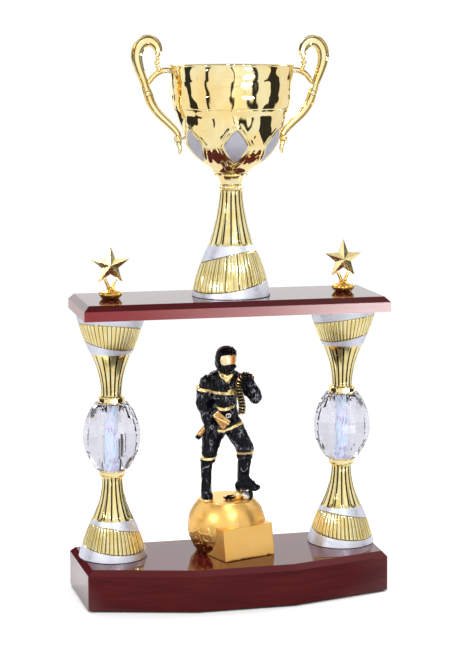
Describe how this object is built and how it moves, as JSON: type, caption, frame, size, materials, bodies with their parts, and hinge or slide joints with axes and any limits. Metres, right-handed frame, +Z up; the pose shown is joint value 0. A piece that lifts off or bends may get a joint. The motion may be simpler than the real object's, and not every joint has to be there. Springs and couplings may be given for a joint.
{
  "type": "column trophy",
  "caption": "Award trophy: handled cup on a fluted riser over a shelf with star finials, crystal columns, and a firefighter figure on a globe stand on its bow-front base.",
  "frame": {"origin": "on the surface the trophy stands on, midway across its width and depth", "axes": "+Z up, front faces -Y, +X to the viewer's right"},
  "size_m": [0.3272, 0.1482, 0.5834],
  "materials": {
    "lacquered_wood": "high-gloss mahogany lacquer",
    "felt": "short-pile felt",
    "gold_plated_plastic": "bright vacuum-metallised gold, with matt silver bands",
    "gold_plated_metal": "mirror gold plate, with matt silver panels",
    "clear_crystal": "clear, cut facets",
    "silver_foil": "bright, slightly iridescent",
    "zinc_steel": "zinc plated",
    "plain_brass": "plain turned",
    "antique_gold_resin": "satin antique gold paint",
    "black_resin": "gloss black paint with gold trim"
  },
  "bodies": {
    "frame": {"base_felt": "felt", "base_board": "lacquered_wood", "top_board": "lacquered_wood", "left_lower_riser": "gold_plated_plastic", "left_lower_collar": "gold_plated_plastic", "left_crystal": "clear_crystal", "left_crystal_sleeve": "silver_foil", "left_upper_collar": "gold_plated_plastic", "left_upper_riser": "gold_plated_plastic", "left_rod_washer": "zinc_steel", "left_rod_nut": "zinc_steel", "left_tie_rod": "zinc_steel", "right_lower_riser": "gold_plated_plastic", "right_lower_collar": "gold_plated_plastic", "right_crystal": "clear_crystal", "right_crystal_sleeve": "silver_foil", "right_upper_collar": "gold_plated_plastic", "right_upper_riser": "gold_plated_plastic", "right_rod_washer": "zinc_steel", "right_rod_nut": "zinc_steel", "right_tie_rod": "zinc_steel", "cup_stud": "zinc_steel", "cup_stud_lower_washer": "zinc_steel", "cup_stud_lower_nut": "zinc_steel", "stand_bolt": "zinc_steel", "stand_bolt_washer": "zinc_steel"},
    "left_finial": {"left_star": "gold_plated_plastic", "left_star_insert": "plain_brass"},
    "right_finial": {"right_star": "gold_plated_plastic", "right_star_insert": "plain_brass"},
    "cup": {"cup_riser": "gold_plated_plastic", "cup_collar": "gold_plated_plastic", "cup_socket": "gold_plated_plastic", "cup_bowl": "gold_plated_metal", "left_handle": "gold_plated_metal", "right_handle": "gold_plated_metal", "left_handle_screw_upper": "zinc_steel", "left_handle_screw_lower": "zinc_steel", "right_handle_screw_upper": "zinc_steel", "right_handle_screw_lower": "zinc_steel", "cup_stud_upper_washer": "zinc_steel", "cup_stud_upper_nut": "zinc_steel"},
    "figure": {"globe_stand": "antique_gold_resin", "stand_insert": "plain_brass", "figure_pin": "zinc_steel", "firefighter": "black_resin"}
  },
  "joints": [
    {"name": "left_finial_turn", "type": "hinge", "parent": "frame", "child": "left_finial", "pos_m": [-0.1246, 0.0092, 0.3151], "axis": [0, 0, 1], "continuous": true},
    {"name": "right_finial_turn", "type": "hinge", "parent": "frame", "child": "right_finial", "pos_m": [0.1246, 0.0092, 0.3151], "axis": [0, 0, 1], "continuous": true},
    {"name": "cup_turn", "type": "hinge", "parent": "frame", "child": "cup", "pos_m": [0.0028, 0.0092, 0.3151], "axis": [0, 0, 1], "continuous": true},
    {"name": "figure_turn", "type": "hinge", "parent": "frame", "child": "figure", "pos_m": [-0.003, 0.0052, 0.0436], "axis": [0, 0, 1], "continuous": true}
  ]
}
